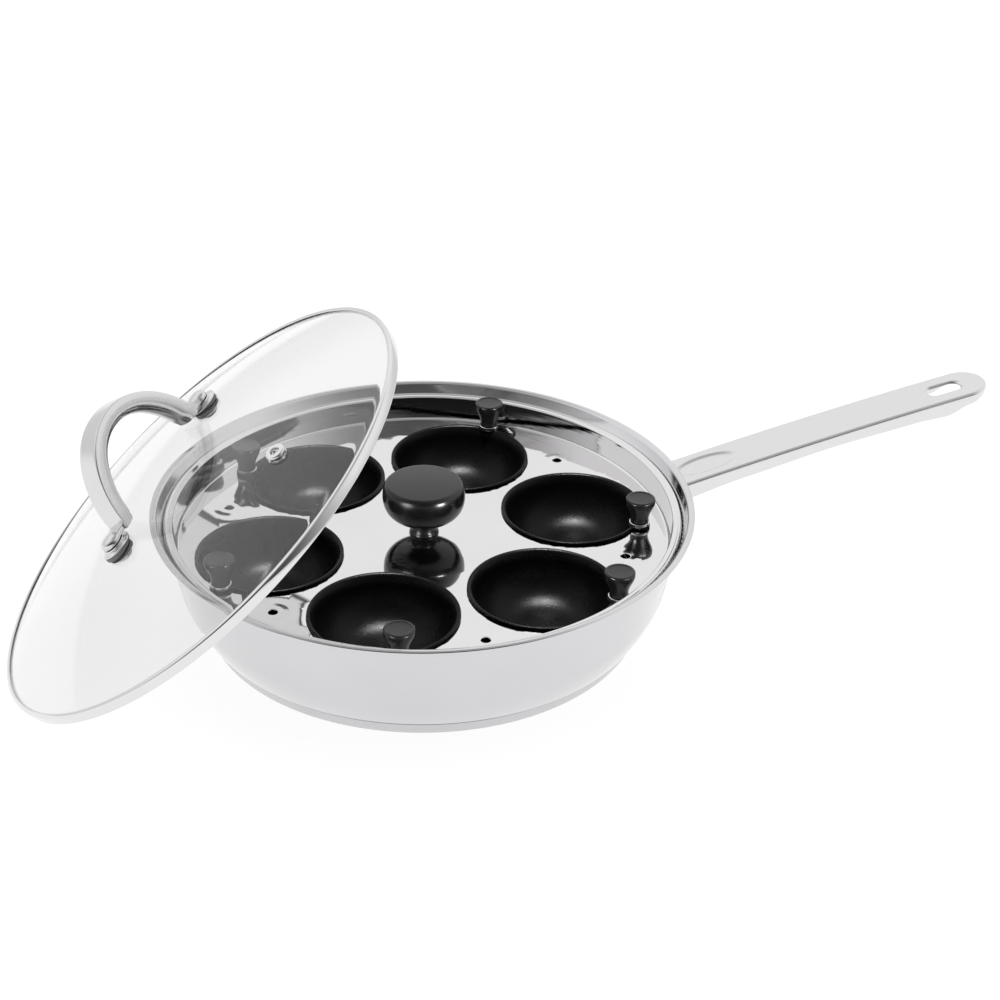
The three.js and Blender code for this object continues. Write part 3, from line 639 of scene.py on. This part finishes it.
def makeTray():
    t = tray
    flange, flangeTop, floorZ = t["flange"], t["flangeTop"], t["floor"]
    bead = (flange - t["beadLean"], flangeTop + t["beadRise"])
    bm = turned([
        *bend((flange, flangeTop), bead, (flange - t["beadWidth"], flangeTop), t["beadPoints"]),
        (t["upstandTop"], flangeTop, 0.6),
        (t["upstandFoot"], floorZ, 1.3),
        (t["floorRing"], floorZ),
    ], t["sides"], segments=6)
    for k in range(t["cups"]):
        angle = fullTurn * k / t["cups"]
        vent = turned([
            (t["ventSkirt"], floorZ),
            (t["ventBoss"], floorZ, t["ventRound"]),
            (t["ventTop"], floorZ + t["ventRise"], t["ventRound"]),
            (t["ventHole"], floorZ + t["ventRise"]),
        ], t["ventSides"])
        addShape(bm, vent, ringPlace(t["ventRing"], angle + fullTurn / t["cups"] / 2, 0))
        bmesh.ops.create_circle(
            bm, segments=t["cupSides"], radius=t["cupHole"] * mm,
            matrix=ringPlace(t["cupRing"], angle, floorZ),
        )
    bmesh.ops.create_circle(
        bm, segments=t["screwSides"], radius=t["screwHole"] * mm, matrix=ringPlace(0, 0, floorZ)
    )
    loops = [
        e for e in bm.edges
        if len(e.link_faces) < 2 and all(abs(v.co.z - floorZ * mm) < onPoint for v in e.verts)
    ]
    bmesh.ops.triangle_fill(bm, use_beauty=True, edges=loops, normal=(0, 0, 1))
    bmesh.ops.recalc_face_normals(bm, faces=bm.faces)
    faceUp(bm, max(bm.faces, key=lambda f: f.calc_area()))
    piece = makePiece("trayPressing", bm, traySteel, "tray", ["tray"], crease=70)
    thicken(piece, t["sheet"])
    addModifier(piece, "WEIGHTED_NORMAL", keep_sharp=True, weight=90)


# Knob of the tray, on a waisted neck, widest at a share of its height
knob = {
    "sides": 96, "low": 46.8, "height": 28.9, "radius": 21.4, "top": 19.3, "widest": 0.74,
    "bore": 4.3, "boreTop": 62.4, "neck": 6.4, "neckFoot": 7.8, "shoulder": 53.3,
    "neckPoints": 8, "bellyPoints": 18, "crownPoints": 14,
}
trayWasher = {"sides": 48, "hole": 2.5, "radius": 6.5, "low": 44.4, "top": 45.4}
trayScrew = {
    "sides": 48, "low": 41.5, "crown": 3.15, "rim": 42.8, "head": 4.5, "under": 44.1,
    "shank": 2.2, "end": 59.2, "rounds": (0.6, 0.4, 0.3),
}


def makeTrayKnob():
    k, w = knob, trayWasher
    low, neck, shoulder, radius = k["low"], k["neck"], k["shoulder"], k["radius"]
    top, widest = low + k["height"], low + k["height"] * k["widest"]
    neckStart, neckPull = (k["neckFoot"] - 0.2, low + 0.8), (neck, low + 2.5)
    bellyStart, bellyPull = (neck + 2.5, shoulder + 1.4), (radius, shoulder + 3.6)
    crownStart, crownPull = (radius, widest + 0.2), (radius, top - 1.5)
    crownEnd, flatEdge = (k["top"], top - 0.15), (k["top"] - 1, top)
    bm = turned([
        (0, k["boreTop"]),
        (k["bore"], k["boreTop"]),
        (k["bore"], low),
        (k["neckFoot"], low, 0.3),
        *bend(neckStart, neckPull, (neck, shoulder), k["neckPoints"]),
        *bend(bellyStart, bellyPull, (radius, widest), k["bellyPoints"]),
        *bend(crownStart, crownPull, crownEnd, k["crownPoints"]),
        flatEdge,
        (0, top),
    ], k["sides"])
    makePiece("trayKnob", bm, trayKnobPhenolic, "tray", ["tray_knob"], crease=50)
    washer = turned([
        (w["hole"], w["low"], 0.15), (w["radius"], w["low"], 0.2),
        (w["radius"], w["top"], 0.2), (w["hole"], w["top"], 0.15),
    ], w["sides"], closed=True)
    makePiece("trayKnobWasher", washer, baseSteel, "tray", ["knob_washer"])
    screw = screwShape(trayScrew)
    makePiece("trayKnobScrew", screw, baseSteel, "tray", ["knob_screw"])


makeTray()
makeTrayKnob()
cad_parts["base_core"].data.materials[0] = coreMetal
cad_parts["knob_insert"].data.materials[0] = insertMetal
print("tray made")

# Cups: coated bowls with a rolled lip and a lug that carries a steel stud and a black knob.
# Heights are from the tray's floor, and each cup is turned in its hole by its own angle.
cup = {
    "sides": 96, "turns": [-43.7, -12.6, 33.1, 39.3, 25.9, 27.9],
    "rim": 37.8, "mouth": 36.1, "lipLow": 0.3, "lipTop": 1.5, "depth": 24.5, "sheet": 1.2,
    "bowl": 35.5, "bottom": 12, "wallTop": -1.5, "wallPoints": 16,
    "lug": 5.6, "lugReach": 38.6, "lugInset": 0.02, "lugSides": 48,
}
stud = {"sides": 48, "low": 1.8, "flange": 5.4, "flangeTop": 3.2, "pin": 1.7, "top": 12.2}
grip = {
    "sides": 64, "low": 3.5, "foot": 4.9, "bore": 2, "boreTop": 12.5, "points": 12,
    "waist": [(4.7, 5.0), (4.75, 8.5), (7.3, 11.8), (7.75, 14.4)],
    "radius": 7.75, "top": 17.0, "dish": 6.1, "dishFloor": 5.7, "dishTop": 16.7,
}


def bowlShape():
    c = cup
    outside, inside = c["bowl"], c["bowl"] - c["sheet"]
    low, floorIn, wallTop = -c["depth"], c["sheet"] - c["depth"], c["wallTop"]
    lugLow, lugTop = c["lipLow"] + c["lugInset"], c["lipTop"] - c["lugInset"]
    pullsOutside = [(outside - 10, low), (outside - 1.3, -15.5)]
    pullsInside = [(inside - 1.3, -15), (inside - 9.5, floorIn)]
    bowl = turned([
        (0, low),
        *sweep((c["bottom"], low), *pullsOutside, (outside, wallTop), c["wallPoints"]),
        (outside, c["lipLow"], 0.2),
        (c["rim"], c["lipLow"], 0.4),
        (c["rim"], c["lipTop"], 0.55),
        (c["mouth"], c["lipTop"], 1.0),
        *sweep((inside, wallTop), *pullsInside, (c["bottom"], floorIn), c["wallPoints"]),
        (0, floorIn),
    ], c["sides"])
    lug = turned([
        (0, lugLow), (c["lug"], lugLow, 0.3), (c["lug"], lugTop, 0.4), (0, lugTop),
    ], c["lugSides"])
    lug.transform(Matrix.Translation((c["lugReach"] * mm, 0, 0)))
    return carve(bowl, lug, "UNION")


def studShape():
    s = stud
    return turned([
        (0, s["low"]), (s["flange"], s["low"], 0.3), (s["flange"], s["flangeTop"], 0.4),
        (s["pin"], s["flangeTop"]), (s["pin"], s["top"], 0.2), (0, s["top"]),
    ], s["sides"])


def gripShape():  # a waisted knob with a shallow dish in its top
    g = grip
    return turned([
        (0, g["boreTop"]), (g["bore"], g["boreTop"]), (g["bore"], g["low"]),
        (g["foot"], g["low"], 0.25),
        *sweep(*g["waist"], g["points"]),
        (g["radius"], g["top"], 0.9), (g["dish"], g["top"], 0.2),
        (g["dishFloor"], g["dishTop"], 0.2), (0, g["dishTop"]),
    ], g["sides"])


def makeCup(number, turn):
    angle = fullTurn * (number - 1) / tray["cups"]
    place = (
        ringPlace(tray["cupRing"], angle, tray["floor"])
        @ Matrix.Rotation(angle + math.radians(turn), 4, "Z")
    )
    onLug = place @ Matrix.Translation((cup["lugReach"] * mm, 0, 0))
    for name, bm, at, material, slot, node, crease in (
        ("eggCup", bowlShape(), place, nonStick, "non_stick", "cup_bowl", 50),
        ("eggCupStud", studShape(), onLug, mirrorSteel, "polished_steel", "cup_stud", 40),
        ("eggCupKnob", gripShape(), onLug, cupKnobPhenolic, "black_knob", "cup_knob", 40),
    ):
        bm.transform(at)
        makePiece(
            f"{name}{number}", bm, material, f"cup_{number}", [f"{node}_{number}"],
            crease=crease,
        )


for number, turn in enumerate(cup["turns"], 1):
    makeCup(number, turn)
print("cups made")

# Lid: domed glass in a folded steel band, an arch on two feet and a vent eyelet.
# Heights are from the middle of the band.
lid = {
    "sides": 192, "glassEdge": 127.4, "thickness": 3.1, "edgeTop": 1.2, "sagitta": 26, "rings": 26,
    "span": 46, "footHole": 2.7, "footHoleEnds": (10, 60),
    "eyelet": 82.5, "eyeletHole": 3.3, "eyeletHoleEnd": 9, "holeSides": 32,
}
lidSphere = (lid["glassEdge"] ** 2 + lid["sagitta"] ** 2) / (2 * lid["sagitta"])


def domeTop(radius):  # height of the glass's outer face
    return lid["edgeTop"] + lid["sagitta"] - lidSphere + math.sqrt(lidSphere ** 2 - radius ** 2)


def drillShape(radius, low, high):
    return turned([(0, low), (radius, low), (radius, high), (0, high)], lid["holeSides"])


def makeGlassDome():
    edge, top, thickness, rings = [lid[k] for k in ("glassEdge", "edgeTop", "thickness", "rings")]
    radii = [edge * i / rings for i in range(rings)]
    dome = turned([
        *[(r, domeTop(r) - thickness) for r in radii],
        (edge, top - thickness, 0.5),
        (edge, top, 0.5),
        *[(r, domeTop(r)) for r in reversed(radii)],
    ], lid["sides"])
    holes = bmesh.new()
    for x in (-lid["span"], lid["span"]):
        drill = drillShape(lid["footHole"], *lid["footHoleEnds"])
        addShape(holes, drill, Matrix.Translation((x * mm, 0, 0)))
    end = lid["eyeletHoleEnd"]
    addShape(holes, drillShape(lid["eyeletHole"], -end, end), eyeletPlace())
    dome = carve(dome, holes, "DIFFERENCE")
    dome.transform(lidPlace)
    makePiece("lidGlass", dome, glass, "lid", ["lid_glass"], crease=60)


def eyeletPlace():  # square to the glass, in the middle of its thickness
    lean = math.asin(lid["eyelet"] / lidSphere)
    height = domeTop(lid["eyelet"]) - lid["thickness"] / 2 * math.cos(lean)
    return Matrix.Translation((0, -lid["eyelet"] * mm, height * mm)) @ Matrix.Rotation(lean, 4, "X")


band = {
    "radius": 129.2, "fold": 126.7, "underFold": 127.1, "sheet": 0.8, "corner": 0.9, "low": -3,
    "overGlass": 0.45, "overEdge": 0.3,
}


def makeBand():
    b = band
    inside, lowInside = b["radius"] - b["sheet"], b["low"] + b["sheet"]
    overFold, overEdge = domeTop(b["fold"]) + b["overGlass"], lid["edgeTop"] + b["overEdge"]
    bm = turned([
        (b["fold"], overFold),
        (b["fold"], overFold + b["sheet"], 0.7),  # rolled over, a fine line along the glass
        (b["radius"], overEdge + b["corner"], 0.9),
        (b["radius"], b["low"], 0.7),
        (b["underFold"], b["low"], 0.3),
        (b["underFold"], lowInside),
        (inside, lowInside, 0.3),
        (inside, overEdge),
    ], lid["sides"], closed=True)
    bm.transform(lidPlace)
    makePiece("lidBand", bm, mirrorSteel, "lid", ["lid_band"])


eyelet = {
    "sides": 48, "bore": 2.2, "shank": 3, "flange": 5, "lowRim": 4.5, "topRim": 4.6,
    "clasp": 1.85, "half": 2.85,
}


def makeEyelet():
    e = eyelet
    bm = turned([
        (e["bore"], -e["half"], 0.3), (e["lowRim"], -e["half"], 0.3), (e["flange"], -e["clasp"]),
        (e["shank"], -e["clasp"]), (e["shank"], e["clasp"]),
        (e["flange"], e["clasp"], 0.2), (e["topRim"], e["half"], 0.5), (e["bore"], e["half"], 0.6),
    ], e["sides"], closed=True)
    bm.transform(lidPlace @ eyeletPlace())
    makePiece("lidEyelet", bm, mirrorSteel, "lid", ["lid_eyelet"])


foot = {
    "sides": 64, "bore": 2.4, "low": 25.53, "flange": 8.6, "flangeTop": 26.23,
    "step": 7.0, "stepLow": 26.53, "stepTop": 26.88, "neck": 6.2, "neckLow": 26.93, "top": 27.53,
    "gasket": 8.2, "gasketTop": 25.23, "gasketHeight": 1.3,
    "washer": 7, "washerLow": 18.93, "washerTop": 20.53, "gap": 0.3,
}
lidScrew = {
    "sides": 48, "low": 16.23, "crown": 3.2, "rim": 17.43, "head": 4.6, "under": 18.63,
    "shank": 2.1, "end": 30.4, "rounds": (0.6, 0.5, 0.2),
}


def glassOver(vert):  # height of the glass's outer face at a point given from a foot's axis
    return domeTop(math.hypot(vert.co.x / mm + lid["span"], vert.co.y / mm))


def gasketShape():  # its underside lies on the glass
    f = foot
    low = f["gasketTop"] - f["gasketHeight"]
    bm = turned([
        (f["bore"], low), (f["gasket"], low),
        (f["gasket"], f["gasketTop"], 0.3), (f["bore"], f["gasketTop"]),
    ], f["sides"], closed=True)
    for vert in bm.verts:
        if abs(vert.co.z - low * mm) < onPoint:
            vert.co.z = (glassOver(vert) + f["gap"]) * mm
    return bm


def washerShape():  # its upper side lies under the glass
    f = foot
    bm = turned([
        (f["bore"], f["washerLow"]), (f["washer"], f["washerLow"], 0.4),
        (f["washer"], f["washerTop"]), (f["bore"], f["washerTop"]),
    ], f["sides"], closed=True)
    for vert in bm.verts:
        if abs(vert.co.z - f["washerTop"] * mm) < onPoint:
            vert.co.z = (glassOver(vert) - lid["thickness"] - f["gap"]) * mm
    return bm


def footShape():  # a wide flange, a narrow step and a neck
    f = foot
    return turned([
        (f["bore"], f["low"]), (f["flange"], f["low"], 0.25), (f["flange"], f["flangeTop"], 0.3),
        (f["step"], f["stepLow"], 0.15), (f["step"], f["stepTop"], 0.15),
        (f["neck"], f["neckLow"], 0.1), (f["neck"], f["top"], 0.2), (f["bore"], f["top"]),
    ], f["sides"], closed=True)


def makeFoot(number, turn):
    onFoot = Matrix.Rotation(turn, 4, "Z") @ Matrix.Translation((lid["span"] * mm, 0, 0))
    for name, bm, material, slot, node in (
        ("lidGasket", gasketShape(), silicone, "silicone", "lid_gasket"),
        ("lidWasher", washerShape(), silicone, "silicone", "lid_washer"),
        ("lidFoot", footShape(), mirrorSteel, "polished_steel", "lid_foot"),
        ("lidScrew", screwShape(lidScrew), baseSteel, "satin_steel", "lid_screw"),
    ):
        bm.transform(lidPlace @ onFoot)
        makePiece(f"{name}{number}", bm, material, "lid", [f"{node}_{number}"])


# The arch is flat outside with rounded edges and half round inside. face is how deep the flat
# part is, and the powers shape the section: nearer 0 is squarer, 1 is round.
arch = {
    "low": 27.83, "rise": 68.2, "end": 38.2, "endLean": 1.7, "endPull": 19, "topPull": 0.576,
    "width": 14, "thickness": 9.5, "endWidth": 13, "endThickness": 8.5, "taper": 6, "face": 1.5,
    "outPower": 0.25, "inPower": 0.8, "inPowerAcross": 0.62, "stations": 28, "around": 40,
    "tab": 5, "tabHeight": 2.6, "tabRound": 0.6, "tabInset": 0.02,
    "boss": 5.6, "bossHeight": 4, "bossPoints": 12, "bossSides": 48, "bossInset": 0.04,
}


def archBar():
    a = arch
    side = sweep(
        (a["end"], a["low"]), (a["end"] - a["endLean"], a["low"] + a["endPull"]),
        (a["end"] * a["topPull"], a["rise"]), (0, a["rise"]), a["stations"],
    )
    path = side + [(-x, z) for x, z in side[-2::-1]]
    bm = bmesh.new()
    bmesh.ops.create_circle(bm, segments=a["around"], radius=1)
    ring = bm.verts[:]
    outline = [(v.co.x, v.co.y) for v in ring]
    edges = bm.edges[:]
    for i, (x, z) in enumerate(path):
        if i:
            made = bmesh.ops.extrude_edge_only(bm, edges=edges)["geom"]
            ring = [g for g in made if isinstance(g, bmesh.types.BMVert)]
            madeEdges = [g for g in made if isinstance(g, bmesh.types.BMEdge)]
            edges = [e for e in madeEdges if all(v in ring for v in e.verts)]
        fromEnd = min(math.dist((x, z), path[0]), math.dist((x, z), path[-1]))
        t = ease(fromEnd / a["taper"])
        half = (a["endWidth"] + (a["width"] - a["endWidth"]) * t) / 2
        thick = a["endThickness"] + (a["thickness"] - a["endThickness"]) * t
        out = Vector((x, z - a["low"])).normalized()
        for vert, (c, s) in zip(ring, outline):
            outside = s > 0
            power = a["outPower"] if outside else a["inPower"]
            powerAcross = a["outPower"] if outside else a["inPowerAcross"]
            deep = a["face"] if outside else thick - a["face"]
            across = math.copysign(abs(c) ** powerAcross, c) * half
            up = math.copysign(abs(s) ** power, s) * deep - a["face"]
            vert.co = Vector((x + out.x * up, across, z + out.y * up)) * mm
    bmesh.ops.holes_fill(bm, edges=[e for e in bm.edges if len(e.link_faces) == 1], sides=0)
    bmesh.ops.recalc_face_normals(bm, faces=bm.faces)
    return bm


def makeArch():
    a = arch
    bm = archBar()
    low, bossTop, span = a["low"], a["low"] + a["bossHeight"], lid["span"]
    inner = a["end"] - a["endThickness"] / 2
    tabSize = Matrix.Diagonal(((span - inner) * mm, 2 * a["tab"] * mm, a["tabHeight"] * mm, 1))
    for toward in (-1, 1):  # a tab with a domed end reaches out over each foot
        tabMiddle = Matrix.Translation((
            toward * (inner + span) / 2 * mm, 0, (low + a["tabHeight"] / 2 + a["tabInset"]) * mm
        ))
        tab = bmesh.new()
        bmesh.ops.create_cube(tab, size=1, matrix=tabMiddle @ tabSize)
        bmesh.ops.bevel(
            tab, geom=tab.edges[:], offset=a["tabRound"] * mm, offset_type="OFFSET", segments=3,
            profile=0.5, affect="EDGES", clamp_overlap=True, material=-1,
        )
        bm = carve(bm, tab, "UNION")
        dome = bend(
            (a["boss"], low + a["tabHeight"] / 2), (a["boss"], bossTop), (0, bossTop),
            a["bossPoints"],
        )
        bossLow = low + a["bossInset"]
        boss = turned([(0, bossLow), (a["boss"], bossLow, 0.3), *dome], a["bossSides"])
        boss.transform(Matrix.Translation((toward * span * mm, 0, 0)))
        bm = carve(bm, boss, "UNION")
    bm.transform(lidPlace)
    makePiece("lidArch", bm, archSteel, "lid", ["lid_handle"], crease=45)


makeGlassDome()
makeBand()
makeEyelet()
for number in (1, 2):
    makeFoot(number, math.pi * (number - 1))
makeArch()
print("lid made")

# A glowing white floor, in metres. Its glow is a little dimmer under and round the pan, a painted
# shade of the pan on the floor, and dimmer still far from it
floor = {
    "reach": 20, "low": -0.0001, "colour": "#707070", "shine": "#ffffff", "roughness": 0.9,
    "glow": (0.92, 0.97), "paintedShadeSpan": (0.13, 0.2), "far": (1.3, 3), "farGlow": 0.7,
}


def makeFloor():
    f = floor
    bm = bmesh.new()
    bmesh.ops.create_grid(
        bm, x_segments=1, y_segments=1, size=f["reach"],
        matrix=Matrix.Translation((0, 0, f["low"])),
    )
    mesh = bpy.data.meshes.new("floor")
    bm.to_mesh(mesh)
    bm.free()
    material, place = startMaterial("paleFloor")
    away = addNode(material, "VectorMath", {0: place}, operation="LENGTH")
    # painted shade: the glow is dimmed under and round the pan's foot
    glow = addNode(
        material, "MapRange",
        {"Value": away.outputs["Value"], "From Min": f["paintedShadeSpan"][0], "From Max": f["paintedShadeSpan"][1],
         "To Min": f["glow"][0], "To Max": f["glow"][1]},
    )
    sheet = addNode(
        material, "MapRange",
        {"Value": away.outputs["Value"], "From Min": f["far"][0], "From Max": f["far"][1],
         "To Min": glow.outputs[0], "To Max": f["farGlow"]},
    )
    finishMaterial(
        material, Base_Color=linear(f["colour"]), Roughness=f["roughness"], Specular_IOR_Level=0,
        Emission_Color=linear(f["shine"]), Emission_Strength=sheet.outputs[0],
    )
    mesh.materials.append(material)
    table = bpy.data.objects.new("floor", mesh)
    bpy.context.scene.collection.objects.link(table)


# A white studio that is dark on the camera's side and dimmer overhead and at the horizon
sky = {
    "back": (0.316, 0.949, 0), "dark": 0.1, "light": 1.02, "behind": (-0.85, 0.0),
    "overhead": (0.72, 0.97), "above": 0.45, "horizon": (0.08, 0.36), "low": 0.8,
}


def makeSky():
    world = bpy.data.worlds.new("studio")
    world.use_nodes = True
    world.node_tree.nodes.clear()
    bpy.context.scene.world = world
    direction = addNode(world, "TexCoord").outputs["Generated"]
    parts = addNode(world, "SeparateXYZ", {0: direction})
    behind = addNode(world, "VectorMath", {0: direction, 1: sky["back"]}, operation="DOT_PRODUCT")
    walls = addNode(
        world, "MapRange",
        {"Value": behind.outputs["Value"], "From Min": sky["behind"][0],
         "From Max": sky["behind"][1], "To Min": sky["dark"], "To Max": sky["light"]},
        interpolation_type="SMOOTHSTEP",
    )
    ceiling = addNode(
        world, "MapRange",
        {"Value": parts.outputs["Z"], "From Min": sky["overhead"][0],
         "From Max": sky["overhead"][1], "To Min": walls.outputs[0], "To Max": sky["above"]},
        interpolation_type="SMOOTHSTEP",
    )
    rise = addNode(
        world, "MapRange",
        {"Value": parts.outputs["Z"], "From Min": sky["horizon"][0],
         "From Max": sky["horizon"][1], "To Min": sky["low"], "To Max": 1},
        interpolation_type="SMOOTHSTEP",
    )
    level = addNode(
        world, "Math", {0: ceiling.outputs[0], 1: rise.outputs[0]}, operation="MULTIPLY"
    )
    air = addNode(world, "Background", {"Color": linear("#ffffff"), "Strength": level.outputs[0]})
    addNode(world, "OutputWorld", {"Surface": air.outputs[0]})


# Softboxes flagged off the steel: two low ones, left and right of the front, for the knobs and one
# overhead for the cups. Bearings go from the front towards the handle, in degrees, and distances
# and sizes are in metres.
softboxes = [
    {"bearing": -62, "height": 6, "distance": 1.6, "size": 0.45, "power": 30, "lights": blackKnobs},
    {"bearing": 30, "height": 6, "distance": 1.6, "size": 0.45, "power": 30, "lights": blackKnobs},
    {"bearing": 160, "height": 84, "distance": 1.6, "size": 0.2, "power": 60, "lights": blackCups},
]


def makeSoftbox(box):
    light = bpy.data.lights.new("softbox", "AREA")
    light.size = box["size"]
    light.energy = box["power"]
    lamp = bpy.data.objects.new("softbox", light)
    bpy.context.scene.collection.objects.link(lamp)
    lamp.light_linking.receiver_collection = box["lights"]
    lamp.light_linking.blocker_collection = box["lights"]
    bearing, height = math.radians(box["bearing"]), math.radians(box["height"])
    outward = Vector((
        math.sin(bearing) * math.cos(height), -math.cos(bearing) * math.cos(height),
        math.sin(height),
    ))
    aim = outward.to_track_quat("Z", "Y").to_matrix().to_4x4()
    lamp.matrix_world = Matrix.Translation(outward * box["distance"]) @ aim


makeFloor()
makeSky()
for box in softboxes:
    makeSoftbox(box)
bpy.context.scene.view_settings.view_transform = "Standard"
print("stage set")
